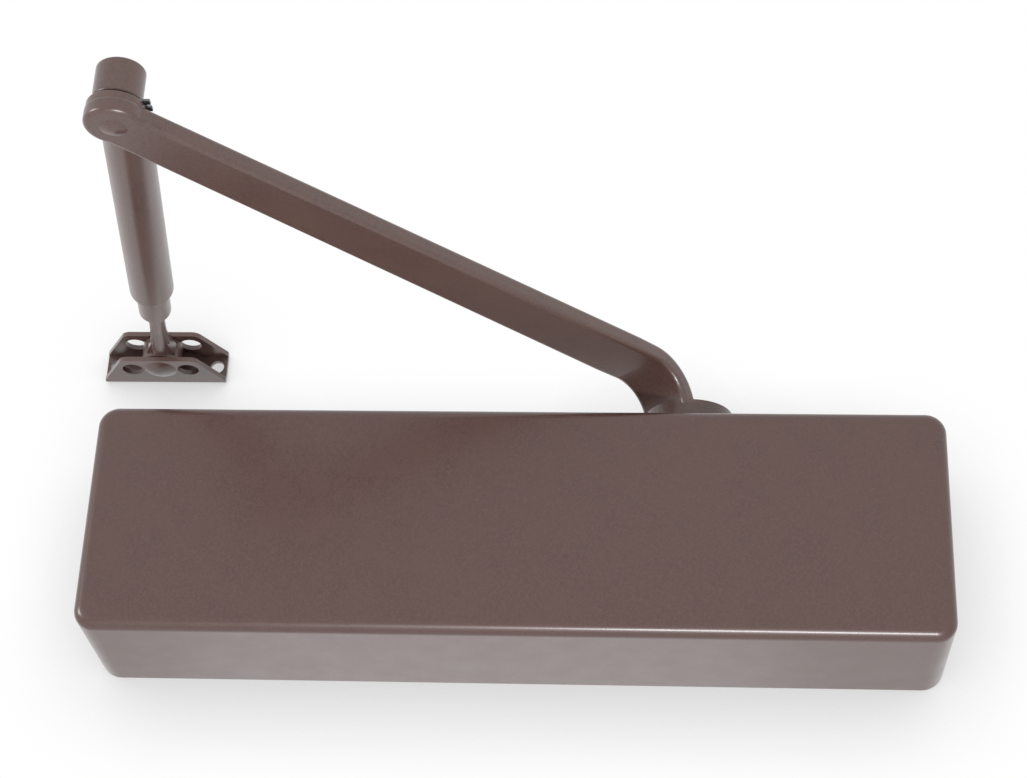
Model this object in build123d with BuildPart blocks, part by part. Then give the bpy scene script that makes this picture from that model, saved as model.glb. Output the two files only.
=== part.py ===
"""Surface-mounted rack-and-pinion door closer with a regular arm.

Frame: +Z up along the spindle, -Y out of the door towards the viewer, +X right.
The origin is the centre of the four body fixing holes, on the door's face.
The arm rests in its door-closed position.  All sizes are in millimetres.
"""

import math
import os

from build123d import *

os.makedirs("parts", exist_ok=True)

# --- cover -------------------------------------------------------------------
cover_length = 311.0
cover_height = 87.0
cover_front_gap = 1.25
cover_draft = 1.0
cover_wall = 2.4
cover_rim_radius = 4.0
cover_corner_radius = 7.5
cover_shift_x = -8.0
cover_notch_gap = 2.5

# --- cover screws --------------------------------------------------------------
cover_screw_reach = 97.0
cover_screw_radius = 2.0
cover_screw_head_radius = 4.2
cover_screw_head_height = 2.0
cover_screw_length = 12.0
cover_screw_slot = 1.0
cover_post_radius = 5.5
cover_post_gap = 0.3

# --- body casting ----------------------------------------------------------------
fixing_spacing_x = 230.0
fixing_spacing_z = 19.0
fixing_hole_radius = 3.5
fixing_edge = 12.0
body_half_length = 107.0
bore_y = -27.0
bore_radius = 17.0
bore_wall = 4.6
ear_thickness = 9.0
ear_corner_radius = 5.0
base_height = 42.0
web_height = 36.0
plug_depth = 9.0
plug_step = 1.2

# --- spindle, bearings, seals ------------------------------------------------------
spindle_x = 55.3
spindle_y = -25.0
journal_radius = 8.5
needle_radius = 1.1
needle_count = 18
needle_gap = 0.05
cup_wall = 1.1
bearing_length = 10.0
bearing_shoulder = 1.0
seal_length = 4.0
cap_length = 5.0
cap_step = 1.3
shaft_boss_wall = 4.0
shaft_end_gap = 1.5
square_size = 11.0
square_corner = 0.8

# --- rack and pinion -----------------------------------------------------------------
gear_module = 1.5
pinion_teeth = 10
pressure_angle = 25.0
tooth_backlash = 0.2
pinion_face = 22.0
rack_side_gap = 0.5
spindle_turn = 170.0
flank_steps = 5

# --- piston ----------------------------------------------------------------------------
piston_clearance = 0.04
piston_end_gap = 1.0
piston_head = 10.0
piston_tail = 12.0
slot_clearance = 0.9
spigot_radius = 10.0
spigot_length = 4.0
check_ball_radius = 2.4
check_ball_lift = 0.8
check_ball_gap = 0.1
check_port_radius = 1.2
retainer_thickness = 1.2
retainer_inset = 0.3

# --- spring and its adjuster -------------------------------------------------------------
spring_wire_radius = 2.1
spring_mean_radius = 13.2
spring_turns = 9
spring_end_gap = 0.15
seat_thickness = 5.0
seat_side_gap = 0.4
seat_travel_out = 6.0
seat_travel_in = 12.0
adjuster_radius = 4.0
adjuster_head_radius = 6.5
adjuster_head_length = 3.5
adjuster_socket_radius = 2.9
adjuster_tip = 4.0
collar_radius = 6.2
collar_length = 2.0
collar_gap = 0.3
thread_clearance = 0.06

# --- end plugs -------------------------------------------------------------------------------
plug_socket_radius = 6.0
plug_socket_depth = 5.0
plug_seal_radius = 0.8
plug_seal_inset = 4.5
plug_seal_gap = 0.05

# --- regulating valves -------------------------------------------------------------------------
valve_radius = 3.0
valve_head_radius = 4.2
valve_head_height = 2.0
valve_slot_width = 1.0
valve_boss_radius = 5.6
valve_boss_height = 5.0
valve_skin = 1.2
valve_port_radius = 0.8
valve_gap = 0.1
valve_places = {"sweep_valve": 93.0, "latch_valve": 80.5, "backcheck_valve": 26.0}

# --- main arm --------------------------------------------------------------------------------------
arm_length = 256.4
arm_heading = 225.0
arm_thickness = 6.2
arm_hub_radius = 16.4
arm_hub_bottom = 45.2
arm_hub_thickness = 8.0
arm_hub_edge = 1.6
arm_blade_bottom = 63.5
arm_width_root = 21.2
arm_width_widest = 23.6
arm_widest_at = 38.0
arm_width_tip = 17.8
arm_end_radius = 9.7
arm_edge_radius = 1.8
arm_boss_radius = 9.4
arm_boss_rise = 1.9
arm_boss_edge = 0.7
arm_neck_start = 6.8
arm_neck_radius = 15.6
arm_neck_foot = 6.0
square_clearance = 0.05
arm_screw_radius = 3.0
arm_screw_length = 12.0
arm_screw_head_radius = 5.6
arm_screw_head_length = 4.0
arm_washer_radius = 6.4
arm_washer_thickness = 1.2

# --- elbow ---------------------------------------------------------------------------------------------
stud_radius = 4.0
stud_head_radius = 4.4
stud_head_height = 0.9
running_gap = 0.05
elbow_washer_thickness = 0.85
elbow_washer_radius = 7.5
washer_tab_reach = 11.0
washer_tab_width = 5.6
washer_tab_notch = 1.4
washer_tab_notch_depth = 1.5
knuckle_radius = 7.95
knuckle_height = 12.8
knuckle_edge = 1.1
knuckle_recess_radius = 6.2
knuckle_recess_depth = 4.0
bushing_wall = 1.2
elbow_cap_thickness = 1.5
ring_thickness = 1.0
ring_lift = 0.2
ring_groove_depth = 0.8
ring_radius = 5.7
ring_clearance = 0.03
cap_clearance = 0.03
stud_tip = 0.6

# --- forearm, rod and foot -----------------------------------------------------------------------------
forearm_lift = 6.2
pin_x = -152.6
pin_y = -12.0
pin_z = 85.5
tube_radius = 8.15
tube_wall = 2.0
tube_start = 20.0
tube_end_gap = 58.0
tube_start_edge = 1.6
tube_mouth_edge = 0.9
shank_radius = 5.0
tenon_length = 12.0
rod_clearance = 0.05
rod_overlap = 78.0
rod_shoulder = 41.0
rod_neck_outer = 35.0
rod_neck_inner = 24.0
rod_neck_radius = 3.1
rod_edge = 1.0
rod_cone_end = 11.0
rod_cone_radius = 3.9
eye_radius = 7.8
eye_web_start = 17.0
eye_web_half_width = 2.5
eye_web_thickness = 5.2
eye_side_gap = 0.3
clamp_boss_radius = 5.0
clamp_boss_height = 3.5
clamp_boss_inset = 14.0
clamp_screw_radius = 2.5
clamp_screw_tip_gap = 0.3
clamp_screw_head = 1.0
clamp_socket_radius = 1.4

foot_length = 48.4
foot_width = 13.0
foot_wall_height = 19.2
foot_sheet = 1.9
foot_top_length = 29.0
foot_end_height = 2.6
foot_hole_pitch = 11.0
foot_hole_radius = 4.15
foot_screw_spacing = 40.4
foot_screw_radius = 2.65
foot_bend_radius = 1.4
foot_corner_radius = 4.0
pivot_clearance = 0.05
pivot_head_radius = 6.2
pivot_head_height = 1.7
pivot_tail_radius = 5.4
pivot_tail_height = 1.3

# --- worked-out sizes --------------------------------------------------------------------------------------
tooth_addendum = 0.8 * gear_module
tooth_dedendum = gear_module
pitch_radius = gear_module * pinion_teeth / 2
tip_radius = pitch_radius + tooth_addendum
root_radius = pitch_radius - tooth_dedendum
base_radius = pitch_radius * math.cos(math.radians(pressure_angle))
tooth_pitch = math.pi * gear_module
half_tooth = tooth_pitch / 4 - tooth_backlash / 4
stroke = pitch_radius * math.radians(spindle_turn)

body_radius = bore_radius + bore_wall
cover_depth = body_radius - bore_y + cover_front_gap + cover_wall
plug_radius = bore_radius + plug_step
needle_circle = journal_radius + needle_gap + needle_radius
cup_bore = needle_circle + needle_radius + needle_gap
bearing_radius = cup_bore + cup_wall
cap_radius = bearing_radius + cap_step
shaft_hole_radius = max(journal_radius, tip_radius) + 2 * piston_clearance + slot_clearance / 2
shaft_boss_radius = cap_radius + shaft_boss_wall
bearing_start = bore_radius + bearing_shoulder
seal_start = bearing_start + bearing_length
cap_start = seal_start + seal_length
boss_end = cap_start + cap_length

slot_reach = max(journal_radius, tip_radius) + slot_clearance
slot_left = spindle_x - slot_reach
slot_right = spindle_x + slot_reach + stroke
piston_right = slot_right + piston_head
piston_left = slot_left - piston_tail
piston_radius = bore_radius - piston_clearance
plug_face_right = piston_right + piston_end_gap
body_right = max(body_half_length, plug_face_right + plug_depth)
plug_inner_right = body_right - plug_depth
body_left = -body_half_length
plug_inner_left = body_left + plug_depth
ball_chamber = 2 * check_ball_radius + check_ball_lift + 2 * check_ball_gap
ball_chamber_right = piston_right - retainer_inset - retainer_thickness
ball_x = ball_chamber_right - ball_chamber + check_ball_gap + check_ball_radius
seat_left = plug_inner_left + collar_gap + collar_length + collar_gap + seat_travel_out
seat_face = seat_left + seat_thickness
adjuster_end = seat_face + seat_travel_in + adjuster_tip
fixing_x = fixing_spacing_x / 2
ear_end = fixing_x + fixing_edge

arm_blade_top = arm_blade_bottom + arm_thickness
arm_boss_top = arm_blade_top + arm_boss_rise
arm_hub_top = arm_hub_bottom + arm_hub_thickness
arm_dir = Vector(1, 0, 0).rotate(Axis.Z, arm_heading)
elbow = Vector(spindle_x, spindle_y, 0) + arm_dir * arm_length
washer_bottom = arm_boss_top + running_gap
knuckle_bottom = washer_bottom + elbow_washer_thickness
knuckle_top = knuckle_bottom + knuckle_height
recess_floor = knuckle_top - knuckle_recess_depth
bushing_radius = stud_radius + running_gap + bushing_wall
ring_bottom = recess_floor + ring_lift
stud_top = ring_bottom + ring_thickness + stud_tip

forearm_origin = Vector(elbow.X, elbow.Y, pin_z - forearm_lift)
pin_point = Vector(pin_x, pin_y, pin_z)
forearm_span = (pin_point - forearm_origin).length
forearm_dir = (pin_point - forearm_origin).normalized()
forearm_side = Vector(0, 0, 1).cross(forearm_dir).normalized()
forearm_up = forearm_dir.cross(forearm_side).normalized()
rod_flat_dir = Vector(forearm_dir.X, forearm_dir.Y, 0).normalized()
tube_bore = tube_radius - tube_wall
rod_radius = tube_bore - rod_clearance
tube_end = forearm_span - tube_end_gap
rod_start = tube_end - rod_overlap

foot_low = pin_z - foot_width / 2
foot_high = pin_z + foot_width / 2
pivot_radius = foot_hole_radius - pivot_clearance
eye_thickness = foot_width - 2 * foot_sheet - 2 * eye_side_gap

# --- planes ---------------------------------------------------------------------------------------------------
spindle_axis = Axis((spindle_x, spindle_y, 0), (0, 0, 1))
bore_axis = Axis((0, bore_y, 0), (1, 0, 0))
forearm_axis = Axis(forearm_origin, forearm_dir)
bore_side = Plane(origin=(0, bore_y, 0), x_dir=(1, 0, 0), z_dir=(0, -1, 0))
arm_plan = Plane(origin=(spindle_x, spindle_y, 0), x_dir=arm_dir, z_dir=(0, 0, 1))
arm_side = Plane(origin=(spindle_x, spindle_y, 0), x_dir=arm_dir, z_dir=arm_dir.cross(Vector(0, 0, 1)))
forearm_lengthwise = Plane(origin=forearm_origin, x_dir=forearm_dir, z_dir=forearm_side * -1)
front_plane = Plane(origin=(cover_shift_x, -cover_depth, 0), x_dir=(1, 0, 0), z_dir=(0, 1, 0))
door_plane = Plane(origin=(0, 0, 0), x_dir=(1, 0, 0), z_dir=(0, -1, 0))


def across_bore(x):
    """Plane across the cylinder bore at x, its normal along +X."""
    return Plane(origin=(x, bore_y, 0), x_dir=(0, 1, 0), z_dir=(1, 0, 0))


def across_spindle(z):
    """Plane across the spindle at height z, its x axis along world X."""
    return Plane(origin=(spindle_x, spindle_y, z))


def across_elbow(z):
    """Plane across the elbow's axis at height z."""
    return Plane(origin=(elbow.X, elbow.Y, z))


def across_forearm(distance):
    """Plane across the forearm at a distance from the elbow."""
    point = forearm_origin + forearm_dir * distance
    return Plane(origin=point, x_dir=forearm_side, z_dir=forearm_dir)


def across_pin(z):
    """Plane across the foot's pivot pin at height z, its x axis along the rod."""
    return Plane(origin=(pin_x, pin_y, z), x_dir=rod_flat_dir, z_dir=(0, 0, 1))


def save(builder, label):
    """Label a finished piece and write it."""
    builder.part.label = label
    export_step(builder.part, f"parts/{label}.step")


# --- cover: a drafted five-sided shell, open at the door ---------------------------------------------------------
cover_top_draft = (cover_depth + bore_y) * math.tan(math.radians(cover_draft))
cover_top_outer = cover_height / 2 + cover_top_draft
cover_top_inner = cover_top_outer - cover_wall
cover_notch_radius = journal_radius + cover_notch_gap
cover_screw_places = [(-cover_screw_reach, bore_y), (cover_screw_reach, bore_y)]

with BuildPart() as cover:
    with BuildSketch(front_plane):
        RectangleRounded(cover_length, cover_height, cover_corner_radius)
    extrude(amount=cover_depth, taper=-cover_draft)
    fillet(cover.faces().sort_by(Axis.Y)[0].edges(), radius=cover_rim_radius)
    with BuildSketch(front_plane.offset(cover_wall)):
        RectangleRounded(
            cover_length - 2 * cover_wall,
            cover_height - 2 * cover_wall,
            cover_corner_radius - cover_wall,
        )
    extrude(amount=cover_depth - cover_wall, taper=-cover_draft, mode=Mode.SUBTRACT)
    with BuildSketch(across_spindle(cover_height / 2 - 2 * cover_wall)):
        Circle(cover_notch_radius)
        with Locations((0, -spindle_y / 2 + cover_wall)):
            Rectangle(2 * cover_notch_radius, -spindle_y + 2 * cover_wall)
    extrude(amount=4 * cover_wall, mode=Mode.SUBTRACT)
    with BuildSketch(Plane.XY.offset(cover_height / 2 - 2 * cover_wall)):
        with Locations(*cover_screw_places):
            Circle(cover_screw_radius + cover_post_gap)
    extrude(amount=4 * cover_wall, mode=Mode.SUBTRACT)
save(cover, "cover")

# --- cover screws: two pan-head screws down through the cover's top wall --------------------------------------------
cover_screw_seat = cover_top_outer + cover_post_gap / 2

with BuildPart() as cover_screws:
    with BuildSketch(Plane.XY.offset(cover_screw_seat)):
        with Locations(*cover_screw_places):
            Circle(cover_screw_head_radius)
    extrude(amount=cover_screw_head_height)
    fillet(
        cover_screws.faces().group_by(Axis.Z)[-1].edges(),
        radius=cover_screw_head_height / 2,
    )
    with BuildSketch(Plane.XY.offset(cover_screw_seat + cover_screw_head_height)):
        with Locations(*cover_screw_places):
            Rectangle(cover_screw_slot, 2 * cover_screw_head_radius)
    extrude(amount=-cover_screw_head_height / 2, mode=Mode.SUBTRACT)
    with BuildSketch(Plane.XY.offset(cover_screw_seat)):
        with Locations(*cover_screw_places):
            Circle(cover_screw_radius)
    extrude(amount=-cover_screw_length)
save(cover_screws, "cover_screws")

# --- body casting: cylinder, web, ears and bosses in one piece ------------------------------------------------------
cover_post_top = cover_top_inner - cover_post_gap
valve_boss_face = body_radius + valve_boss_height
valve_hole_end = bore_radius + valve_skin

with BuildPart() as body_casting:
    with BuildSketch(across_bore(body_left)):
        Circle(body_radius)
    extrude(amount=body_right - body_left)
    with BuildSketch(door_plane):
        with Locations(((body_left + body_right) / 2, 0)):
            Rectangle(body_right - body_left, web_height)
    extrude(amount=-bore_y)
    with BuildSketch(door_plane) as ear_outline:
        Rectangle(2 * ear_end, base_height)
        fillet(ear_outline.vertices(), radius=ear_corner_radius)
    extrude(amount=ear_thickness)
    with BuildSketch(across_spindle(-boss_end)):
        Circle(shaft_boss_radius)
    extrude(amount=2 * boss_end)
    with BuildSketch(Plane.XY):
        with Locations(*cover_screw_places):
            Circle(cover_post_radius)
    extrude(amount=cover_post_top)
    with BuildSketch(Plane.XY):
        with Locations(*[(x, bore_y) for x in valve_places.values()]):
            Circle(valve_boss_radius)
    extrude(amount=-valve_boss_face)
    # Cylinder bore with a counterbore for the plug at each end.
    with BuildSketch(across_bore(body_left)):
        Circle(bore_radius)
    extrude(amount=body_right - body_left, mode=Mode.SUBTRACT)
    with BuildSketch(across_bore(body_left)):
        Circle(plug_radius)
    extrude(amount=plug_depth, mode=Mode.SUBTRACT)
    with BuildSketch(across_bore(body_right)):
        Circle(plug_radius)
    extrude(amount=-plug_depth, mode=Mode.SUBTRACT)
    # Shaft bore with bearing and cap counterbores at both ends.
    with BuildSketch(across_spindle(-boss_end)):
        Circle(shaft_hole_radius)
    extrude(amount=2 * boss_end, mode=Mode.SUBTRACT)
    for side in (1, -1):
        with BuildSketch(across_spindle(side * boss_end)):
            Circle(bearing_radius)
        extrude(amount=-side * (boss_end - bearing_start), mode=Mode.SUBTRACT)
        with BuildSketch(across_spindle(side * boss_end)):
            Circle(cap_radius)
        extrude(amount=-side * cap_length, mode=Mode.SUBTRACT)
    # Fixing holes through both ears.
    with BuildSketch(door_plane):
        with GridLocations(fixing_spacing_x, fixing_spacing_z, 2, 2):
            Circle(fixing_hole_radius)
    extrude(amount=ear_thickness, mode=Mode.SUBTRACT)
    # Tapped holes for the cover screws and for the regulating valves.
    with BuildSketch(Plane.XY.offset(cover_post_top)):
        with Locations(*cover_screw_places):
            Circle(cover_screw_radius)
    extrude(amount=-(cover_screw_length + cover_post_gap), mode=Mode.SUBTRACT)
    with BuildSketch(Plane.XY.offset(-valve_boss_face)):
        with Locations(*[(x, bore_y) for x in valve_places.values()]):
            Circle(valve_radius + thread_clearance)
    extrude(amount=valve_boss_face - valve_hole_end, mode=Mode.SUBTRACT)
    with BuildSketch(Plane.XY.offset(-valve_boss_face)):
        with Locations(*[(x, bore_y) for x in valve_places.values()]):
            Circle(valve_port_radius)
    extrude(amount=valve_boss_face - bore_radius / 2, mode=Mode.SUBTRACT)
save(body_casting, "body_casting")

# --- pinion shaft ---------------------------------------------------------------------------------------------------
shaft_low = -(cap_start - shaft_end_gap)
shaft_shoulder = arm_hub_bottom - running_gap
square_top = arm_hub_top - shaft_end_gap / 3


def involute(angle):
    """Involute function of a pressure angle in radians."""
    return math.tan(angle) - angle


def flank_point(radius):
    """Point on a tooth's flank at a radius, for a tooth centred on local +X."""
    local_angle = math.acos(base_radius / radius)
    half = half_tooth / pitch_radius + involute(math.radians(pressure_angle)) - involute(local_angle)
    return radius * math.cos(half), radius * math.sin(half)


flank_radii = [
    base_radius + (tip_radius - base_radius) * step / (flank_steps - 1)
    for step in range(flank_steps)
]
flank_top = [flank_point(radius) for radius in flank_radii]
flank_bottom = [(x, -y) for x, y in flank_top]
tooth_foot = root_radius * math.cos(math.pi / pinion_teeth)
tooth_foot_half = tooth_foot * flank_top[0][1] / flank_top[0][0]

with BuildSketch(mode=Mode.PRIVATE) as tooth:
    with BuildLine():
        Spline(*flank_top)
        ThreePointArc(flank_top[-1], (tip_radius, 0), flank_bottom[-1])
        Spline(*flank_bottom)
        Polyline(
            flank_bottom[0],
            (tooth_foot, -tooth_foot_half),
            (tooth_foot, tooth_foot_half),
            flank_top[0],
        )
    make_face()

with BuildPart() as pinion_shaft:
    with BuildSketch(across_spindle(shaft_low)):
        Circle(journal_radius)
    extrude(amount=-pinion_face / 2 - shaft_low)
    with BuildSketch(across_spindle(pinion_face / 2)):
        Circle(journal_radius)
    extrude(amount=shaft_shoulder - pinion_face / 2)
    with BuildSketch(across_spindle(-pinion_face / 2)):
        Circle(root_radius)
        with PolarLocations(0, pinion_teeth, start_angle=-90):
            add(tooth.sketch)
    extrude(amount=pinion_face)
    with BuildSketch(arm_plan.offset(shaft_shoulder)):
        RectangleRounded(square_size, square_size, square_corner)
    extrude(amount=square_top - shaft_shoulder)
    with BuildSketch(arm_plan.offset(square_top)):
        Circle(arm_screw_radius)
    extrude(amount=-arm_screw_length, mode=Mode.SUBTRACT)
save(pinion_shaft, "pinion_shaft")

# --- bearings, seals and caps around the shaft ------------------------------------------------------------------------
for name, side in (("upper", 1), ("lower", -1)):
    with BuildPart() as bearing_cup:
        with BuildSketch(across_spindle(side * bearing_start)):
            Circle(bearing_radius)
            Circle(cup_bore, mode=Mode.SUBTRACT)
        extrude(amount=side * bearing_length)
    save(bearing_cup, f"{name}_bearing_cup")

    with BuildPart() as bearing_needles:
        with BuildSketch(across_spindle(side * (bearing_start + needle_gap))):
            with PolarLocations(needle_circle, needle_count):
                Circle(needle_radius)
        extrude(amount=side * (bearing_length - 2 * needle_gap))
    save(bearing_needles, f"{name}_bearing_needles")

    with BuildPart() as shaft_seal:
        with BuildSketch(across_spindle(side * seal_start)):
            Circle(bearing_radius)
            Circle(journal_radius + running_gap, mode=Mode.SUBTRACT)
        extrude(amount=side * seal_length)
    save(shaft_seal, f"{name}_shaft_seal")

with BuildPart() as upper_shaft_cap:
    with BuildSketch(across_spindle(cap_start)):
        Circle(cap_radius)
        Circle(shaft_hole_radius, mode=Mode.SUBTRACT)
    extrude(amount=cap_length)
save(upper_shaft_cap, "upper_shaft_cap")

with BuildPart() as lower_shaft_cap:
    with BuildSketch(across_spindle(-cap_start)):
        Circle(cap_radius)
    extrude(amount=-cap_length)
    with BuildSketch(across_spindle(-boss_end)):
        RegularPolygon(plug_socket_radius, 6)
    extrude(amount=cap_length / 2, mode=Mode.SUBTRACT)
save(lower_shaft_cap, "lower_shaft_cap")

# --- rack piston --------------------------------------------------------------------------------------------------------
pitch_line = spindle_y - pitch_radius
rack_floor = spindle_y - slot_reach
slot_back = spindle_y + slot_reach
rack_width = pinion_face - 2 * rack_side_gap
flank_slope = math.tan(math.radians(pressure_angle))
rack_tip_half = half_tooth - tooth_addendum * flank_slope
rack_floor_depth = pitch_line - rack_floor
rack_floor_half = half_tooth + rack_floor_depth * flank_slope
rack_first = math.ceil((slot_left - spindle_x + rack_floor_half) / tooth_pitch - 0.5)
rack_last = math.floor((slot_right - spindle_x - rack_floor_half) / tooth_pitch - 0.5)
rack_tooth_places = [
    (spindle_x + (index + 0.5) * tooth_pitch, pitch_line)
    for index in range(rack_first, rack_last + 1)
]
slot_length = slot_right - slot_left
slot_centre_x = (slot_right + slot_left) / 2

with BuildSketch(mode=Mode.PRIVATE) as rack_tooth:
    with BuildLine():
        Polyline(
            (-rack_floor_half, -rack_floor_depth),
            (rack_floor_half, -rack_floor_depth),
            (rack_tip_half, tooth_addendum),
            (-rack_tip_half, tooth_addendum),
            close=True,
        )
    make_face()

with BuildPart() as rack_piston:
    with BuildSketch(across_bore(piston_left)):
        Circle(piston_radius)
    extrude(amount=piston_right - piston_left)
    with BuildSketch(across_bore(piston_left)):
        Circle(spigot_radius)
    extrude(amount=-spigot_length)
    with BuildSketch(Plane.XY.offset(-bore_radius)):
        with Locations((slot_centre_x, (rack_floor + slot_back) / 2)):
            Rectangle(slot_length, slot_back - rack_floor)
    extrude(amount=2 * bore_radius, mode=Mode.SUBTRACT)
    with BuildSketch(Plane.XY.offset(-rack_width / 2)):
        with Locations(*rack_tooth_places):
            add(rack_tooth.sketch)
    extrude(amount=rack_width)
    # Oil passage through the head, with the check ball's chamber.
    with BuildSketch(across_bore(slot_right)):
        Circle(check_port_radius)
    extrude(amount=piston_head, mode=Mode.SUBTRACT)
    with BuildSketch(across_bore(piston_right)):
        Circle(check_ball_radius + running_gap)
    extrude(
        amount=-(ball_chamber + retainer_inset + retainer_thickness),
        mode=Mode.SUBTRACT,
    )
save(rack_piston, "rack_piston")

with BuildPart() as check_ball:
    with BuildSketch(bore_side):
        with Locations((ball_x, 0)):
            Circle(check_ball_radius)
            Rectangle(
                2 * check_ball_radius,
                check_ball_radius,
                align=(Align.CENTER, Align.MAX),
                mode=Mode.SUBTRACT,
            )
    revolve(axis=bore_axis)
save(check_ball, "check_ball")

with BuildPart() as check_ball_retainer:
    with BuildSketch(across_bore(ball_chamber_right)):
        Circle(check_ball_radius + running_gap)
        Circle(check_port_radius, mode=Mode.SUBTRACT)
    extrude(amount=retainer_thickness)
save(check_ball_retainer, "check_ball_retainer")

# --- closing spring, its movable seat and the adjusting screw --------------------------------------------------------------
spring_start = seat_face + spring_wire_radius + spring_end_gap
spring_end = piston_left - spring_wire_radius - spring_end_gap
spring_length = spring_end - spring_start

with BuildPart() as closing_spring:
    with BuildLine() as coil:
        Helix(
            pitch=spring_length / spring_turns,
            height=spring_length,
            radius=spring_mean_radius,
            center=(spring_start, bore_y, 0),
            direction=(1, 0, 0),
        )
    with BuildSketch(Plane(origin=coil.line @ 0, z_dir=coil.line % 0)):
        Circle(spring_wire_radius)
    sweep(is_frenet=True)
save(closing_spring, "closing_spring")

with BuildPart() as spring_seat:
    with BuildSketch(across_bore(seat_left)):
        Circle(bore_radius - seat_side_gap)
    extrude(amount=seat_thickness)
    with BuildSketch(across_bore(seat_face)):
        Circle(spigot_radius)
    extrude(amount=spigot_length)
    with BuildSketch(across_bore(seat_left)):
        Circle(adjuster_radius + thread_clearance)
    extrude(amount=seat_thickness + spigot_length, mode=Mode.SUBTRACT)
save(spring_seat, "spring_seat")

with BuildPart() as power_adjuster:
    with BuildSketch(across_bore(body_left - collar_gap)):
        RegularPolygon(adjuster_head_radius, 6)
    extrude(amount=-adjuster_head_length)
    with BuildSketch(across_bore(body_left - collar_gap)):
        Circle(adjuster_radius)
    extrude(amount=adjuster_end - body_left + collar_gap)
    with BuildSketch(across_bore(plug_inner_left + collar_gap)):
        Circle(collar_radius)
    extrude(amount=collar_length)
    with BuildSketch(across_bore(body_left - collar_gap - adjuster_head_length)):
        RegularPolygon(adjuster_socket_radius, 6)
    extrude(amount=adjuster_head_length, mode=Mode.SUBTRACT)
save(power_adjuster, "power_adjuster")

# --- end plugs and their seals ----------------------------------------------------------------------------------------------
seal_centre_radius = plug_radius - plug_seal_radius - plug_seal_gap
seal_groove_radius = seal_centre_radius - plug_seal_radius - plug_seal_gap
seal_groove_width = 2 * (plug_seal_radius + plug_seal_gap)

for name, outer_x, inward in (("spring_end_plug", body_left, 1), ("fluid_end_plug", body_right, -1)):
    with BuildPart() as end_plug:
        with BuildSketch(across_bore(outer_x)):
            Circle(plug_radius)
        extrude(amount=inward * plug_depth)
        with BuildSketch(across_bore(outer_x + inward * plug_seal_inset - seal_groove_width / 2)):
            Circle(plug_radius)
            Circle(seal_groove_radius, mode=Mode.SUBTRACT)
        extrude(amount=seal_groove_width, mode=Mode.SUBTRACT)
        with BuildSketch(across_bore(outer_x)):
            if inward == 1:
                Circle(adjuster_radius + thread_clearance)
            else:
                RegularPolygon(plug_socket_radius, 6)
        extrude(
            amount=inward * (plug_depth if inward == 1 else plug_socket_depth),
            mode=Mode.SUBTRACT,
        )
    save(end_plug, name)

    with BuildPart() as plug_seal:
        with BuildSketch(bore_side):
            with Locations((outer_x + inward * plug_seal_inset, seal_centre_radius)):
                Circle(plug_seal_radius)
        revolve(axis=bore_axis)
    save(plug_seal, name.replace("plug", "seal"))

# --- regulating valves ---------------------------------------------------------------------------------------------------------
valve_head_plane = -(valve_boss_face + valve_gap)

for name, valve_x in valve_places.items():
    with BuildPart() as valve:
        with BuildSketch(Plane(origin=(valve_x, bore_y, valve_head_plane))):
            Circle(valve_radius)
        extrude(amount=valve_boss_face - valve_hole_end)
        with BuildSketch(Plane(origin=(valve_x, bore_y, valve_head_plane))):
            Circle(valve_head_radius)
        extrude(amount=-valve_head_height)
        with BuildSketch(Plane(origin=(valve_x, bore_y, valve_head_plane - valve_head_height))):
            Rectangle(2 * valve_head_radius, valve_slot_width)
        extrude(amount=valve_head_height / 2, mode=Mode.SUBTRACT)
    save(valve, name)

# --- main arm: hub, cranked neck and tapering blade ---------------------------------------------------------------------------------
neck_centre_s = arm_neck_start + arm_thickness + arm_neck_radius
neck_centre_z = arm_blade_bottom - arm_neck_radius
neck_outer_radius = arm_neck_radius + arm_thickness
neck_foot_z = arm_hub_top - arm_neck_foot
arm_tip = arm_length + arm_end_radius
diagonal = math.sqrt(0.5)

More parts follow.
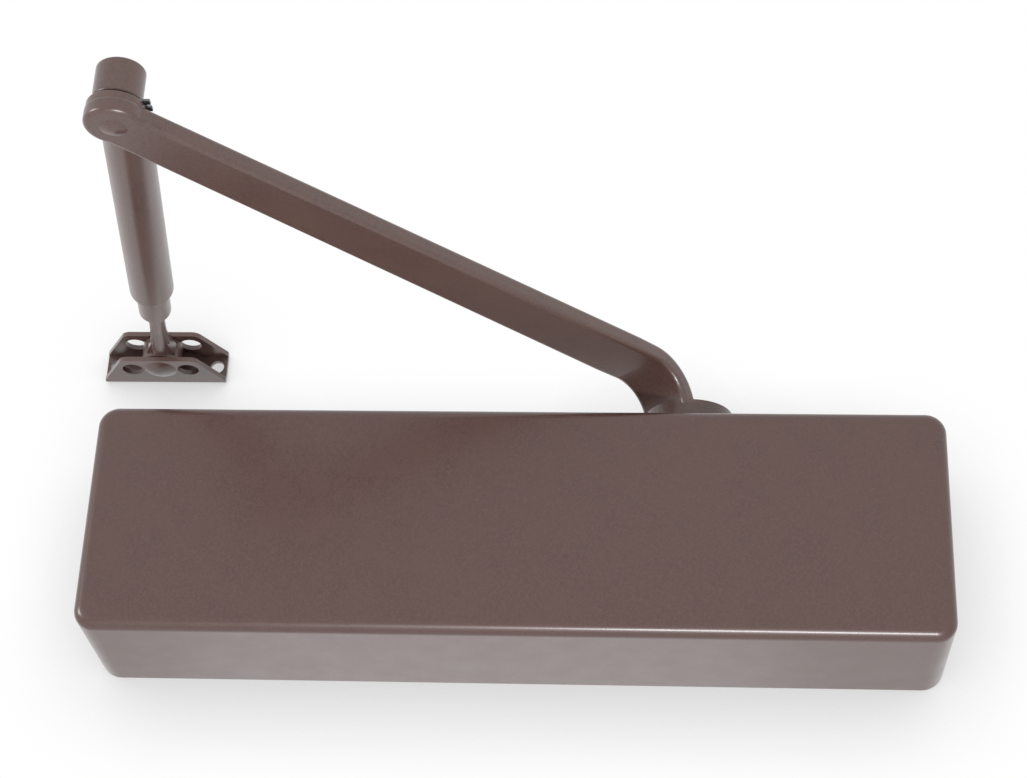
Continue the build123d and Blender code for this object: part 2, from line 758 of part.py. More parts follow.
with BuildPart() as main_arm:
    with BuildSketch(arm_side):
        with BuildLine():
            Line((neck_centre_s - arm_neck_radius, neck_foot_z), (neck_centre_s - arm_neck_radius, neck_centre_z))
            ThreePointArc(
                (neck_centre_s - arm_neck_radius, neck_centre_z),
                (
                    neck_centre_s - arm_neck_radius * diagonal,
                    neck_centre_z + arm_neck_radius * diagonal,
                ),
                (neck_centre_s, arm_blade_bottom),
            )
            Polyline(
                (neck_centre_s, arm_blade_bottom),
                (arm_tip, arm_blade_bottom),
                (arm_tip, arm_blade_top),
                (neck_centre_s, arm_blade_top),
            )
            ThreePointArc(
                (neck_centre_s, arm_blade_top),
                (
                    neck_centre_s - neck_outer_radius * diagonal,
                    neck_centre_z + neck_outer_radius * diagonal,
                ),
                (arm_neck_start, neck_centre_z),
            )
            Polyline(
                (arm_neck_start, neck_centre_z),
                (arm_neck_start, neck_foot_z),
                (neck_centre_s - arm_neck_radius, neck_foot_z),
            )
        make_face()
    extrude(amount=arm_width_widest, both=True)
    with BuildSketch(arm_plan.offset(neck_foot_z)):
        with BuildLine():
            Polyline(
                (0, arm_width_root / 2),
                (arm_widest_at, arm_width_widest / 2),
                (arm_length, arm_width_tip / 2),
                (arm_length, -arm_width_tip / 2),
                (arm_widest_at, -arm_width_widest / 2),
                (0, -arm_width_root / 2),
                close=True,
            )
        make_face()
        with Locations((arm_length, 0)):
            Circle(arm_end_radius)
    extrude(amount=arm_blade_top - neck_foot_z, mode=Mode.INTERSECT)
    blade_edges = main_arm.edges().filter_by(Axis.Z, reverse=True)
    fillet(
        blade_edges.filter_by(lambda edge: edge.center().Z > neck_foot_z + arm_neck_foot / 2),
        radius=arm_edge_radius,
    )
    with BuildSketch(across_elbow(arm_blade_bottom + arm_edge_radius)):
        Circle(arm_boss_radius)
    extrude(amount=arm_boss_top - arm_blade_bottom - arm_edge_radius)
    fillet(main_arm.edges().group_by(Axis.Z)[-1], radius=arm_boss_edge)
    with BuildSketch(arm_plan.offset(arm_hub_bottom)):
        Circle(arm_hub_radius)
    extrude(amount=arm_hub_thickness)
    fillet(
        main_arm.edges().filter_by(GeomType.CIRCLE).group_by(Axis.Z)[0],
        radius=arm_hub_edge,
    )
    with BuildSketch(arm_plan.offset(arm_hub_bottom)):
        RectangleRounded(
            square_size + 2 * square_clearance,
            square_size + 2 * square_clearance,
            square_corner,
        )
    extrude(amount=arm_hub_thickness, mode=Mode.SUBTRACT)
    with BuildSketch(across_elbow(arm_blade_bottom)):
        Circle(stud_radius)
    extrude(amount=arm_boss_top - arm_blade_bottom, mode=Mode.SUBTRACT)
save(main_arm, "main_arm")

with BuildPart() as arm_screw_washer:
    with BuildSketch(across_spindle(arm_hub_top)):
        Circle(arm_washer_radius)
        Circle(arm_screw_radius + running_gap, mode=Mode.SUBTRACT)
    extrude(amount=arm_washer_thickness)
save(arm_screw_washer, "arm_screw_washer")

arm_screw_seat = arm_hub_top + arm_washer_thickness

with BuildPart() as arm_screw:
    with BuildSketch(across_spindle(arm_screw_seat)):
        RegularPolygon(arm_screw_head_radius, 6)
    extrude(amount=arm_screw_head_length)
    with BuildSketch(across_spindle(arm_screw_seat)):
        Circle(arm_screw_radius)
    extrude(amount=-arm_screw_length)
save(arm_screw, "arm_screw")

# --- elbow: riveted stud, washer, bushing, retaining ring and cap --------------------------------------------------------------------
groove_radius = stud_radius - ring_groove_depth
dome_radius = (stud_head_radius**2 + stud_head_height**2) / (2 * stud_head_height)

with BuildPart() as elbow_stud:
    with BuildSketch(Plane(origin=elbow, x_dir=(1, 0, 0), z_dir=(0, -1, 0))):
        with BuildLine():
            ThreePointArc(
                (0, arm_blade_bottom - stud_head_height),
                (
                    stud_head_radius / 2,
                    arm_blade_bottom
                    - stud_head_height
                    + dome_radius
                    - math.sqrt(dome_radius**2 - stud_head_radius**2 / 4),
                ),
                (stud_head_radius, arm_blade_bottom),
            )
            Polyline(
                (stud_head_radius, arm_blade_bottom),
                (stud_radius, arm_blade_bottom),
                (stud_radius, ring_bottom),
                (groove_radius, ring_bottom),
                (groove_radius, ring_bottom + ring_thickness),
                (stud_radius, ring_bottom + ring_thickness),
                (stud_radius, stud_top),
                (0, stud_top),
                (0, arm_blade_bottom - stud_head_height),
            )
        make_face()
    revolve(axis=Axis(elbow, (0, 0, 1)))
save(elbow_stud, "elbow_stud")

with BuildPart() as elbow_washer:
    with BuildSketch(across_elbow(washer_bottom)):
        Circle(elbow_washer_radius)
        with Locations((washer_tab_reach / 2, 0)):
            Rectangle(washer_tab_reach, washer_tab_width)
        with Locations((washer_tab_reach, 0)):
            Rectangle(2 * washer_tab_notch_depth, washer_tab_notch, mode=Mode.SUBTRACT)
        Circle(stud_radius + running_gap, mode=Mode.SUBTRACT)
    extrude(amount=elbow_washer_thickness)
save(elbow_washer, "elbow_washer")

with BuildPart() as elbow_bushing:
    with BuildSketch(across_elbow(knuckle_bottom)):
        Circle(bushing_radius)
        Circle(stud_radius + running_gap, mode=Mode.SUBTRACT)
    extrude(amount=recess_floor - knuckle_bottom)
save(elbow_bushing, "elbow_bushing")

with BuildPart() as elbow_ring:
    with BuildSketch(across_elbow(ring_bottom)):
        Circle(ring_radius)
        Circle(groove_radius + ring_clearance, mode=Mode.SUBTRACT)
        with Locations((ring_radius, 0)):
            Rectangle(2 * ring_radius, 2 * ring_groove_depth, mode=Mode.SUBTRACT)
    extrude(amount=ring_thickness)
save(elbow_ring, "elbow_ring")

with BuildPart() as elbow_cap:
    with BuildSketch(across_elbow(knuckle_top)):
        Circle(knuckle_recess_radius - cap_clearance)
    extrude(amount=-elbow_cap_thickness)
save(elbow_cap, "elbow_cap")

# --- forearm: knuckle with its tenon, and the outer tube ---------------------------------------------------------------------------------
with BuildPart() as forearm_knuckle:
    with BuildSketch(across_elbow(knuckle_bottom)):
        Circle(knuckle_radius)
    extrude(amount=knuckle_height)
    fillet(forearm_knuckle.edges().filter_by(GeomType.CIRCLE), radius=knuckle_edge)
    with BuildSketch(across_forearm(0)):
        Circle(shank_radius)
    extrude(amount=tube_start)
    with BuildSketch(across_forearm(tube_start)):
        Circle(tube_bore)
    extrude(amount=tenon_length)
    with BuildSketch(across_elbow(knuckle_bottom)):
        Circle(bushing_radius)
    extrude(amount=knuckle_height, mode=Mode.SUBTRACT)
    with BuildSketch(across_elbow(knuckle_top)):
        Circle(knuckle_recess_radius)
    extrude(amount=-knuckle_recess_depth, mode=Mode.SUBTRACT)
save(forearm_knuckle, "forearm_knuckle")

clamp_plane = Plane(
    origin=forearm_origin + forearm_dir * (tube_end - clamp_boss_inset),
    x_dir=forearm_dir,
    z_dir=forearm_up,
)
clamp_boss_top = tube_radius + clamp_boss_height

with BuildPart() as forearm_tube:
    with BuildSketch(across_forearm(tube_start)):
        Circle(tube_radius)
    extrude(amount=tube_end - tube_start)
    tube_rims = forearm_tube.edges().filter_by(GeomType.CIRCLE).sort_by(Axis.Y)
    fillet(tube_rims[0], radius=tube_start_edge)
    fillet(forearm_tube.edges().filter_by(GeomType.CIRCLE).sort_by(Axis.Y)[-1], radius=tube_mouth_edge)
    with BuildSketch(clamp_plane):
        Circle(clamp_boss_radius)
    extrude(amount=clamp_boss_top)
    with BuildSketch(across_forearm(tube_start)):
        Circle(tube_bore)
    extrude(amount=tube_end - tube_start, mode=Mode.SUBTRACT)
    with BuildSketch(clamp_plane):
        Circle(clamp_screw_radius + thread_clearance)
    extrude(amount=clamp_boss_top, mode=Mode.SUBTRACT)
save(forearm_tube, "forearm_tube")

clamp_tip = tube_bore + clamp_screw_tip_gap
clamp_head_top = clamp_boss_top + clamp_screw_head

with BuildPart() as clamp_screw:
    with BuildSketch(clamp_plane.offset(clamp_tip)):
        Circle(clamp_screw_radius)
    extrude(amount=clamp_head_top - clamp_tip)
    with BuildSketch(clamp_plane.offset(clamp_head_top)):
        RegularPolygon(clamp_socket_radius, 6)
    extrude(amount=-clamp_screw_radius, mode=Mode.SUBTRACT)
save(clamp_screw, "clamp_screw")

# --- forearm rod: round bar, neck and flat eye -----------------------------------------------------------------------------------------------
rod_end = forearm_span - rod_shoulder

with BuildPart() as forearm_rod:
    with BuildSketch(forearm_lengthwise):
        with BuildLine():
            Polyline(
                (rod_start, 0),
                (rod_start, rod_radius - rod_edge),
                (rod_start + rod_edge, rod_radius),
                (rod_end, rod_radius),
                (forearm_span - rod_neck_outer, rod_neck_radius),
                (forearm_span - rod_neck_inner, rod_neck_radius),
                (forearm_span - rod_cone_end, rod_cone_radius),
                (forearm_span - eye_radius / 2, rod_cone_radius),
                (forearm_span - eye_radius / 2, 0),
                close=True,
            )
        make_face()
    revolve(axis=forearm_axis)
    with BuildSketch(across_pin(pin_z - eye_web_thickness / 2)):
        with BuildLine():
            Polyline(
                (-eye_web_start, eye_web_half_width),
                (-eye_radius * diagonal, eye_radius * diagonal),
                (-eye_radius * diagonal, -eye_radius * diagonal),
                (-eye_web_start, -eye_web_half_width),
                close=True,
            )
        make_face()
    extrude(amount=eye_web_thickness)
    with BuildSketch(across_pin(pin_z - eye_thickness / 2)):
        Circle(eye_radius)
    extrude(amount=eye_thickness)
    with BuildSketch(across_pin(foot_low)):
        Circle(pivot_radius + pivot_clearance)
    extrude(amount=foot_width, mode=Mode.SUBTRACT)
save(forearm_rod, "forearm_rod")

# --- foot: bent sheet channel with three pivot holes in each wall -------------------------------------------------------------------------------
foot_plan = Plane(origin=(pin_x, 0, foot_low), x_dir=(1, 0, 0), z_dir=(0, 0, 1))
foot_end = Plane(origin=(pin_x - foot_length / 2, 0, pin_z), x_dir=(0, 0, 1), z_dir=(1, 0, 0))
foot_base = Plane(origin=(pin_x, 0, pin_z), x_dir=(1, 0, 0), z_dir=(0, -1, 0))

with BuildPart() as foot_bracket:
    with BuildSketch(foot_base):
        Rectangle(foot_length, foot_width)
    extrude(amount=foot_wall_height)
    long_edges = foot_bracket.edges().filter_by(Axis.X).group_by(Axis.Y)[-1]
    fillet(long_edges, radius=foot_bend_radius)
    with BuildSketch(foot_base.offset(foot_sheet)) as channel:
        Rectangle(foot_length, foot_width - 2 * foot_sheet)
    extrude(amount=foot_wall_height, mode=Mode.SUBTRACT)
    with BuildSketch(foot_plan) as wall_outline:
        with BuildLine():
            Polyline(
                (-foot_length / 2, 0),
                (foot_length / 2, 0),
                (foot_length / 2, -foot_end_height),
                (foot_top_length / 2, -foot_wall_height),
                (-foot_top_length / 2, -foot_wall_height),
                (-foot_length / 2, -foot_end_height),
                close=True,
            )
        make_face()
        fillet(wall_outline.vertices().group_by(Axis.Y)[0], radius=foot_corner_radius)
    extrude(amount=foot_width, mode=Mode.INTERSECT)
    with BuildSketch(foot_plan):
        with Locations((0, pin_y)):
            with GridLocations(foot_hole_pitch, 1, 3, 1):
                Circle(foot_hole_radius)
    extrude(amount=foot_width, mode=Mode.SUBTRACT)
    with BuildSketch(foot_base):
        with GridLocations(foot_screw_spacing, 1, 2, 1):
            Circle(foot_screw_radius)
    extrude(amount=foot_sheet, mode=Mode.SUBTRACT)
save(foot_bracket, "foot_bracket")

pivot_profile = Plane(origin=(pin_x, pin_y, 0), x_dir=(1, 0, 0), z_dir=(0, -1, 0))
pivot_dome = (pivot_head_radius**2 + pivot_head_height**2) / (2 * pivot_head_height)

with BuildPart() as foot_pivot_pin:
    with BuildSketch(pivot_profile):
        with BuildLine():
            ThreePointArc(
                (0, foot_low - pivot_head_height),
                (
                    pivot_head_radius / 2,
                    foot_low
                    - pivot_head_height
                    + pivot_dome
                    - math.sqrt(pivot_dome**2 - pivot_head_radius**2 / 4),
                ),
                (pivot_head_radius, foot_low),
            )
            Polyline(
                (pivot_head_radius, foot_low),
                (pivot_radius, foot_low),
                (pivot_radius, foot_high),
                (pivot_tail_radius, foot_high),
                (pivot_tail_radius, foot_high + pivot_tail_height / 2),
                (pivot_radius, foot_high + pivot_tail_height),
                (0, foot_high + pivot_tail_height),
                (0, foot_low - pivot_head_height),
            )
        make_face()
    revolve(axis=Axis((pin_x, pin_y, 0), (0, 0, 1)))
save(foot_pivot_pin, "foot_pivot_pin")
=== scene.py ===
import math

import bpy
from mathutils import Euler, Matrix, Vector


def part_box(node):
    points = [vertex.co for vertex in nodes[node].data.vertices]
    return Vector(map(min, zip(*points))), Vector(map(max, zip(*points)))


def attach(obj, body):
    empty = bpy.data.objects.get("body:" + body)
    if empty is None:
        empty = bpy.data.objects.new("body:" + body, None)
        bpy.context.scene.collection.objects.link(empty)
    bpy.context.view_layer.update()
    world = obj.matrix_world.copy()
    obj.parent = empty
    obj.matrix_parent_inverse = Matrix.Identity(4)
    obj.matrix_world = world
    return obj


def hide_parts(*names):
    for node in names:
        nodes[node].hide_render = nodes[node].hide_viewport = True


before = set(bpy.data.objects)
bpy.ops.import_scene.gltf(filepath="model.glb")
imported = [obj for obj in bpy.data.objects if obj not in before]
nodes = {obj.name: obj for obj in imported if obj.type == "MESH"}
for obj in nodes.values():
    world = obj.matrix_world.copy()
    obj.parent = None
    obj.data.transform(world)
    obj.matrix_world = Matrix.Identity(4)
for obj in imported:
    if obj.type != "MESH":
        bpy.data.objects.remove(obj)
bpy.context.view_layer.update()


# ---------------------------------------------------------------------------
# Paint and metal: small helpers that build a node material
# ---------------------------------------------------------------------------


class Finish:
    """One material, built node by node on Object coordinates, in metres."""

    def __init__(self, name, colour, roughness, metallic=0.0, specular=0.5):
        self.material = bpy.data.materials.new(name)
        self.material.use_nodes = True
        self.material.diffuse_color = (*colour, 1.0)
        self.tree = self.material.node_tree
        self.tree.nodes.clear()
        self.output = self.add("ShaderNodeOutputMaterial")
        self.shader = self.add("ShaderNodeBsdfPrincipled")
        self.shader.inputs["Base Color"].default_value = (*colour, 1.0)
        self.shader.inputs["Roughness"].default_value = roughness
        self.shader.inputs["Metallic"].default_value = metallic
        self.shader.inputs["Specular IOR Level"].default_value = specular
        self.link(self.shader.outputs["BSDF"], self.output.inputs["Surface"])
        self.coords = self.add("ShaderNodeTexCoord").outputs["Object"]

    def add(self, kind):
        return self.tree.nodes.new(kind)

    def link(self, source, target):
        self.tree.links.new(source, target)

    def mapped(self, scale=(1.0, 1.0, 1.0), rotation=(0.0, 0.0, 0.0), place=(0.0, 0.0, 0.0)):
        """Object coordinates moved, turned and stretched."""
        mapping = self.add("ShaderNodeMapping")
        mapping.vector_type = "POINT"
        mapping.inputs["Scale"].default_value = scale
        mapping.inputs["Rotation"].default_value = rotation
        mapping.inputs["Location"].default_value = place
        self.link(self.coords, mapping.inputs["Vector"])
        return mapping.outputs["Vector"]

    def noise(self, grain, detail=2.0, roughness=0.5, vector=None):
        """Noise with patches about grain metres across."""
        noise = self.add("ShaderNodeTexNoise")
        noise.inputs["Scale"].default_value = 1.0 / grain
        noise.inputs["Detail"].default_value = detail
        noise.inputs["Roughness"].default_value = roughness
        self.link(vector or self.coords, noise.inputs["Vector"])
        return noise.outputs["Fac"]

    def ramp(self, value, low, high, dark=0.0, light=1.0):
        """Map low..high of a value to dark..light, clamped."""
        span = self.add("ShaderNodeMapRange")
        span.inputs["From Min"].default_value = low
        span.inputs["From Max"].default_value = high
        span.inputs["To Min"].default_value = dark
        span.inputs["To Max"].default_value = light
        self.link(value, span.inputs["Value"])
        return span.outputs["Result"]

    def blend(self, factor, first, second):
        """Mix two colours (or colour sockets) by a factor."""
        mix = self.add("ShaderNodeMix")
        mix.data_type = "RGBA"
        self.link(factor, mix.inputs["Factor"])
        for socket, colour in ((mix.inputs["A"], first), (mix.inputs["B"], second)):
            if hasattr(colour, "node"):
                self.link(colour, socket)
            else:
                socket.default_value = (*colour, 1.0)
        return mix.outputs["Result"]

    def colour(self, source):
        self.link(source, self.shader.inputs["Base Color"])

    def rough(self, source):
        self.link(source, self.shader.inputs["Roughness"])

    def bump(self, height, depth, strength=1.0):
        """Bump from a 0..1 height that stands depth metres."""
        bump = self.add("ShaderNodeBump")
        bump.inputs["Strength"].default_value = strength
        bump.inputs["Distance"].default_value = depth
        self.link(height, bump.inputs["Height"])
        self.link(bump.outputs["Normal"], self.shader.inputs["Normal"])


def bronze_paint(name, base, deep, warm, roughness, grain, orange_peel):
    """Satin dark bronze paint: mottled colour, a fine orange-peel skin and uneven gloss."""
    paint = Finish(name, base, roughness, specular=0.5)
    speck = paint.noise(grain, detail=3.0, roughness=0.65)
    cloud = paint.noise(grain * 14.0, detail=2.0)
    body = paint.blend(paint.ramp(speck, 0.34, 0.66), deep, base)
    paint.colour(paint.blend(paint.ramp(cloud, 0.35, 0.7, 0.0, 0.6), body, warm))
    peel = paint.noise(grain * 0.55, detail=2.0)
    paint.rough(paint.ramp(cloud, 0.3, 0.7, roughness - 0.03, roughness + 0.04))
    paint.bump(peel, orange_peel, strength=0.5)
    paint.shader.inputs["Coat Weight"].default_value = 0.5
    paint.shader.inputs["Coat Roughness"].default_value = 0.22
    return paint.material


def cast_alloy():
    """Blasted die-cast alloy with a grey, slightly pitted skin; the pits are painted darker,
    painted shade in their hollows.
    """
    alloy = Finish("cast_alloy", (0.42, 0.42, 0.43), 0.5, metallic=0.85)
    pits_and_painted_shade = alloy.noise(0.0009, detail=4.0, roughness=0.7)
    stain = alloy.noise(0.016, detail=3.0)
    spots = alloy.ramp(stain, 0.3, 0.7)
    skin = alloy.blend(spots, (0.34, 0.34, 0.35), (0.5, 0.5, 0.51))
    # Painted shade: the colour darkens where the pit bump is low.
    alloy.colour(alloy.blend(alloy.ramp(pits_and_painted_shade, 0.28, 0.5), (0.22, 0.22, 0.23), skin))
    alloy.rough(alloy.ramp(stain, 0.3, 0.7, 0.42, 0.58))
    alloy.bump(pits_and_painted_shade, 0.00025, strength=0.6)
    return alloy.material


def turned_steel(name, base, roughness, axis, groove=0.00035):
    """Steel turned about one axis: fine rings across it and a few darker smears."""
    steel = Finish(name, base, roughness, metallic=1.0)
    stretch = [1.0 / 0.02] * 3
    stretch["XYZ".index(axis)] = 1.0 / groove
    rings = steel.noise(1.0, detail=1.0, vector=steel.mapped(scale=stretch))
    smear = steel.noise(0.006, detail=3.0)
    dull = tuple(0.72 * part for part in base)
    steel.colour(steel.blend(steel.ramp(smear, 0.3, 0.7), dull, base))
    steel.rough(steel.ramp(rings, 0.3, 0.7, roughness - 0.06, roughness + 0.08))
    steel.bump(rings, 0.00003, strength=0.6)
    return steel.material


def plated_steel():
    """Zinc plating: pale, slightly blotchy, with a soft sheen."""
    zinc = Finish("plated_steel", (0.52, 0.52, 0.5), 0.34, metallic=1.0)
    bloom = zinc.noise(0.0022, detail=3.0)
    zinc.colour(zinc.blend(zinc.ramp(bloom, 0.3, 0.7), (0.4, 0.4, 0.41), (0.6, 0.6, 0.57)))
    zinc.rough(zinc.ramp(bloom, 0.3, 0.7, 0.28, 0.42))
    zinc.bump(zinc.noise(0.0006), 0.00002)
    return zinc.material


def yellow_metal(name, base, roughness):
    """Turned brass or sintered bronze with a dulled skin."""
    brass = Finish(name, base, roughness, metallic=1.0)
    tarnish = brass.noise(0.003, detail=3.0)
    dark = tuple(0.6 * part for part in base)
    brass.colour(brass.blend(brass.ramp(tarnish, 0.35, 0.7), base, dark))
    brass.rough(brass.ramp(tarnish, 0.3, 0.7, roughness - 0.06, roughness + 0.1))
    brass.bump(brass.noise(0.0005), 0.00002)
    return brass.material


def seal_rubber():
    """Black nitrile rubber, matt, with a little bloom."""
    rubber = Finish("seal_rubber", (0.02, 0.02, 0.022), 0.7)
    bloom = rubber.noise(0.004, detail=3.0)
    haze = rubber.ramp(bloom, 0.4, 0.7)
    rubber.colour(rubber.blend(haze, (0.016, 0.016, 0.018), (0.05, 0.05, 0.05)))
    rubber.bump(rubber.noise(0.0004), 0.00004)
    return rubber.material


cover_paint = bronze_paint(
    "cover_bronze",
    base=(0.07, 0.031, 0.026),
    deep=(0.046, 0.02, 0.016),
    warm=(0.064, 0.028, 0.021),
    roughness=0.34,
    grain=0.0008,
    orange_peel=0.00006,
)
arm_paint = bronze_paint(
    "arm_bronze",
    base=(0.08, 0.042, 0.035),
    deep=(0.055, 0.028, 0.024),
    warm=(0.08, 0.042, 0.032),
    roughness=0.34,
    grain=0.0012,
    orange_peel=0.00008,
)
alloy = cast_alloy()
steel_along_x = turned_steel("machined_steel_x", (0.5, 0.5, 0.51), 0.3, "X")
steel_along_z = turned_steel("machined_steel_z", (0.5, 0.5, 0.51), 0.3, "Z")
ground_steel = turned_steel("bearing_steel", (0.62, 0.62, 0.64), 0.14, "Z", groove=0.0002)
dark_spring = turned_steel("spring_steel", (0.2, 0.2, 0.22), 0.38, "X", groove=0.001)
zinc = plated_steel()
brass = yellow_metal("valve_brass", (0.6, 0.45, 0.2), 0.26)
bronze_bush = yellow_metal("bushing_bronze", (0.5, 0.32, 0.14), 0.45)
rubber = seal_rubber()

finishes = {
    "cover": cover_paint,
    "main_arm": arm_paint,
    "forearm_knuckle": arm_paint,
    "forearm_tube": arm_paint,
    "forearm_rod": arm_paint,
    "foot_bracket": arm_paint,
    "foot_pivot_pin": arm_paint,
    "elbow_stud": arm_paint,
    "elbow_cap": arm_paint,
    "body_casting": alloy,
    "pinion_shaft": steel_along_z,
    "upper_shaft_cap": steel_along_z,
    "lower_shaft_cap": steel_along_z,
    "rack_piston": steel_along_x,
    "check_ball_retainer": steel_along_x,
    "spring_end_plug": steel_along_x,
    "fluid_end_plug": steel_along_x,
    "spring_seat": steel_along_x,
    "upper_bearing_cup": ground_steel,
    "lower_bearing_cup": ground_steel,
    "upper_bearing_needles": ground_steel,
    "lower_bearing_needles": ground_steel,
    "check_ball": ground_steel,
    "closing_spring": dark_spring,
    "elbow_ring": dark_spring,
    "elbow_washer": dark_spring,
    "cover_screws": zinc,
    "arm_screw": zinc,
    "arm_screw_washer": zinc,
    "power_adjuster": zinc,
    "clamp_screw": zinc,
    "sweep_valve": brass,
    "latch_valve": brass,
    "backcheck_valve": brass,
    "elbow_bushing": bronze_bush,
    "spring_end_seal": rubber,
    "fluid_end_seal": rubber,
    "upper_shaft_seal": rubber,
    "lower_shaft_seal": rubber,
}

for node_name, material in finishes.items():
    mesh = nodes[node_name].data
    mesh.materials.clear()
    mesh.materials.append(material)


# ---------------------------------------------------------------------------
# Screws, modelled in place of the plain ones
# ---------------------------------------------------------------------------


screw_corners = 48
sharp_angle = math.radians(40.0)
smooth_angle = math.radians(35.0)
flat_enough = 0.9
cover_screw_head = 0.002
cover_screw_shank_radius = 0.002
cover_screw_tip = 0.0006
cover_screw_round = 0.0007
cover_screw_recess = (0.0044, 0.0009, 0.0026)
arm_screw_head = 0.004
arm_screw_shank_radius = 0.003
arm_screw_overlap = 0.001
arm_screw_face_inset = 0.14
arm_screw_round = 0.0005
arm_stem_round = 0.0004
valve_head = 0.002
valve_shank_radius = 0.003
valve_tip = 0.0008
valve_round = 0.0005
valve_slot = (0.001, 0.009, 0.002)


def upward(face):
    """True for a face that looks straight up."""
    return face.normal.z > flat_enough


def downward(face):
    """True for a face that looks straight down."""
    return face.normal.z < -flat_enough


def push(distance):
    """Extrude the selected faces along Z."""
    bpy.ops.mesh.extrude_region_move(TRANSFORM_OT_translate={"value": (0.0, 0.0, distance)})


def join(parts):
    """Join parts into the first one."""
    bpy.ops.object.select_all(action="DESELECT")
    for part in parts:
        part.select_set(True)
    bpy.context.view_layer.objects.active = parts[0]
    bpy.ops.object.join()
    return parts[0]


def pick_faces(mesh_object, keep):
    """Enter edit mode with only the faces selected that keep() accepts."""
    bpy.ops.object.mode_set(mode="EDIT")
    bpy.ops.mesh.select_mode(type="FACE")
    bpy.ops.mesh.select_all(action="DESELECT")
    bpy.ops.object.mode_set(mode="OBJECT")
    for face in mesh_object.data.polygons:
        face.select = keep(face)
    bpy.ops.object.mode_set(mode="EDIT")


def turned(name, place, radius, height, steps, corners=screw_corners):
    """A head standing on place along +Z, its underside stepped down to a shank.

    steps is a list of (inset, depth) pairs worked one after another from the underside.
    """
    bpy.ops.object.select_all(action="DESELECT")
    middle = Vector(place) + Vector((0.0, 0.0, height / 2))
    bpy.ops.mesh.primitive_cylinder_add(
        vertices=corners, radius=radius, depth=height, location=middle
    )
    part = bpy.context.object
    part.name = name
    bpy.ops.object.transform_apply(location=True, rotation=True, scale=True)
    pick_faces(part, downward)
    for inset, depth in steps:
        bpy.ops.mesh.inset(thickness=inset)
        push(-depth)
    bpy.ops.object.mode_set(mode="OBJECT")
    return part


def rounded(part, width, segments=3):
    """Round every sharp edge and shade the rest smooth."""
    bpy.context.view_layer.objects.active = part
    bevel = part.modifiers.new("round", "BEVEL")
    bevel.width = width
    bevel.segments = segments
    bevel.limit_method = "ANGLE"
    bevel.angle_limit = sharp_angle
    bpy.ops.object.modifier_apply(modifier=bevel.name)
    bpy.ops.object.shade_smooth_by_angle(angle=smooth_angle)
    return part


def cut_slot(part, middle, size, turn=0.0):
    """Cut a straight slot of the given size, centred on middle."""
    bpy.ops.object.select_all(action="DESELECT")
    bpy.ops.mesh.primitive_cube_add(size=1.0, location=middle, rotation=(0.0, 0.0, turn))
    cutter = bpy.context.object
    cutter.scale = size
    bpy.ops.object.transform_apply(location=True, rotation=True, scale=True)
    bpy.ops.object.select_all(action="DESELECT")
    part.select_set(True)
    bpy.context.view_layer.objects.active = part
    cut = part.modifiers.new("slot", "BOOLEAN")
    cut.operation = "DIFFERENCE"
    cut.solver = "EXACT"
    cut.object = cutter
    bpy.ops.object.modifier_apply(modifier=cut.name)
    bpy.data.objects.remove(cutter, do_unlink=True)


def hand_over(part, node_name, body, material):
    """Give a finished piece its paint and its place in the assembly, and hide the node it stands
    for.
    """
    part.data.materials.clear()
    part.data.materials.append(material)
    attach(part, body)
    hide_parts(node_name)


def cover_screw_pair():
    """Two pan-head screws with crossed recesses in the cover's top wall."""
    low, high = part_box("cover_screws")
    head_radius = (high.y - low.y) / 2
    screws = []
    for x in (low.x + head_radius, high.x - head_radius):
        seat = Vector((x, (low.y + high.y) / 2, high.z - cover_screw_head))
        shank = seat.z - low.z
        steps = [
            (head_radius - cover_screw_shank_radius, shank - cover_screw_tip),
            (cover_screw_tip, cover_screw_tip),
        ]
        part = turned("cover_screw", seat, head_radius, cover_screw_head, steps)
        rounded(part, cover_screw_round)
        for turn in (math.radians(45.0), math.radians(135.0)):
            crown = seat + Vector((0.0, 0.0, cover_screw_head))
            cut_slot(part, crown, cover_screw_recess, turn)
        screws.append(part)
    pair = join(screws)
    pair.name = "cross_recess_cover_screws"
    hand_over(pair, "cover_screws", "closer_body", zinc)


def hex_arm_screw():
    """The hexagon screw that clamps the arm on the spindle: washer face, chamfered crown, shank."""
    low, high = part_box("arm_screw")
    radius = (high.x - low.x) / 2
    seat = Vector(((low.x + high.x) / 2, (low.y + high.y) / 2, high.z - arm_screw_head))
    shank = seat.z - low.z
    steps = [(radius * arm_screw_face_inset, 0.0)]
    part = turned("hex_arm_screw", seat, radius, arm_screw_head, steps, corners=6)
    rounded(part, arm_screw_round)
    foot = seat - Vector((0.0, 0.0, shank))
    stem = turned("stem", foot, arm_screw_shank_radius, shank + arm_screw_overlap, [])
    rounded(stem, arm_stem_round)
    join([part, stem])
    hand_over(part, "arm_screw", "arm", zinc)


def valve_screw(node_name):
    """A slotted brass regulating screw with a rounded head that looks down out of the casting."""
    low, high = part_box(node_name)
    radius = (high.x - low.x) / 2
    place = Vector(((low.x + high.x) / 2, (low.y + high.y) / 2, low.z))
    length = high.z - low.z
    part = turned(node_name + "_screw", place, radius, valve_head, [])
    pick_faces(part, upward)
    bpy.ops.mesh.inset(thickness=radius - valve_shank_radius)
    push(length - valve_head - valve_tip)
    bpy.ops.mesh.inset(thickness=valve_tip)
    push(valve_tip)
    bpy.ops.object.mode_set(mode="OBJECT")
    rounded(part, valve_round)
    cut_slot(part, place, valve_slot)
    hand_over(part, node_name, node_name, brass)


cover_screw_pair()
hex_arm_screw()
for valve_name in ("sweep_valve", "latch_valve", "backcheck_valve"):
    valve_screw(valve_name)


# ---------------------------------------------------------------------------
# Studio: pale floor, a board that only takes soft shade, lights and camera
# ---------------------------------------------------------------------------


def plain(name, colour):
    """A matt, even stage colour."""
    return Finish(name, colour, 0.9, specular=0.2).material


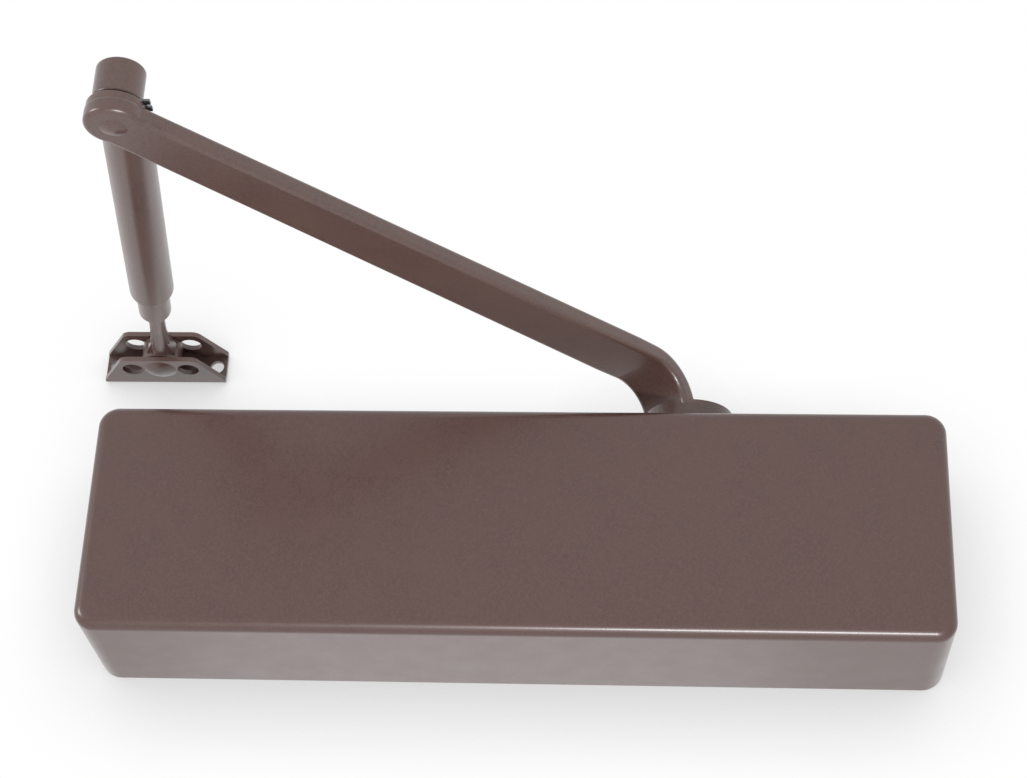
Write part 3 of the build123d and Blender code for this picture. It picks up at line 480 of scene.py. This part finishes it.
def pale_floor():
    """A wide pale floor well below the closer."""
    bpy.ops.object.select_all(action="DESELECT")
    bpy.ops.mesh.primitive_plane_add(size=9.0, location=(0.0, 0.0, -0.75))
    floor = bpy.context.object
    floor.name = "pale_floor"
    floor.data.materials.append(plain("pale_floor", (0.86, 0.86, 0.86)))
    return floor


def shade_board():
    """A clear board in the plane of the door that shows only the soft shade of what lies on it."""
    bpy.ops.object.select_all(action="DESELECT")
    bpy.ops.mesh.primitive_plane_add(
        size=1.6, location=(0.0, 0.0006, 0.1), rotation=(math.radians(90.0), 0.0, 0.0)
    )
    board = bpy.context.object
    board.name = "shade_board"
    bpy.ops.object.transform_apply(location=True, rotation=True, scale=True)
    material = bpy.data.materials.new("shade_board")
    material.use_nodes = True
    tree = material.node_tree
    tree.nodes.clear()
    output = tree.nodes.new("ShaderNodeOutputMaterial")
    clear = tree.nodes.new("ShaderNodeBsdfTransparent")
    near = tree.nodes.new("ShaderNodeAmbientOcclusion")
    near.samples = 16
    near.inputs["Distance"].default_value = 0.045
    depth = tree.nodes.new("ShaderNodeMapRange")
    depth.inputs["From Min"].default_value = 0.35
    depth.inputs["From Max"].default_value = 0.97
    depth.inputs["To Min"].default_value = 0.6
    depth.inputs["To Max"].default_value = 1.0
    tree.links.new(near.outputs["AO"], depth.inputs["Value"])
    tree.links.new(depth.outputs["Result"], clear.inputs["Color"])
    tree.links.new(clear.outputs["BSDF"], output.inputs["Surface"])
    board.data.materials.append(material)
    for ray in ("diffuse", "glossy", "transmission", "shadow", "volume_scatter"):
        setattr(board, "visible_" + ray, False)
    return board


def softbox(name, place, aim, width, height, power, colour=(1.0, 1.0, 1.0)):
    """A square lamp at place, pointed at aim."""
    data = bpy.data.lights.new(name, "AREA")
    data.shape = "RECTANGLE"
    data.size = width
    data.size_y = height
    data.energy = power
    data.color = colour
    lamp = bpy.data.objects.new(name, data)
    bpy.context.collection.objects.link(lamp)
    lamp.location = place
    lamp.rotation_euler = (Vector(aim) - Vector(place)).to_track_quat("-Z", "Y").to_euler()
    lamp.visible_camera = False
    return lamp


world = bpy.data.worlds.new("pale_room")
bpy.context.scene.world = world
world.use_nodes = True
world.node_tree.nodes["Background"].inputs["Color"].default_value = (1.0, 1.0, 1.0, 1.0)
world.node_tree.nodes["Background"].inputs["Strength"].default_value = 1.0

pale_floor()
shade_board()

cover_low, cover_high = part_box("cover")
cover_middle = (cover_low + cover_high) / 2
softbox("window_below", (-0.1, 0.95, -0.42), cover_middle, 0.5, 0.8, 0.45)
softbox("front_lamp", (0.15, -0.75, -0.65), cover_middle, 0.35, 0.05, 6.0)
foot_low, foot_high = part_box("foot_bracket")
softbox("fill_lamp", (-1.2, -0.7, 0.06), (foot_low + foot_high) / 2, 0.4, 0.3, 5.0)

camera_data = bpy.data.cameras.new("camera")
camera_data.sensor_width = 36.0
camera_data.lens = 74.82
camera = bpy.data.objects.new("camera", camera_data)
bpy.context.collection.objects.link(camera)
camera.location = (0.04114, -0.75321, -0.30017)
camera.rotation_euler = Euler([math.radians(a) for a in (116.592, -2.031, 3.134)], "XYZ")
bpy.context.scene.camera = camera
bpy.context.scene.view_settings.view_transform = "Standard"
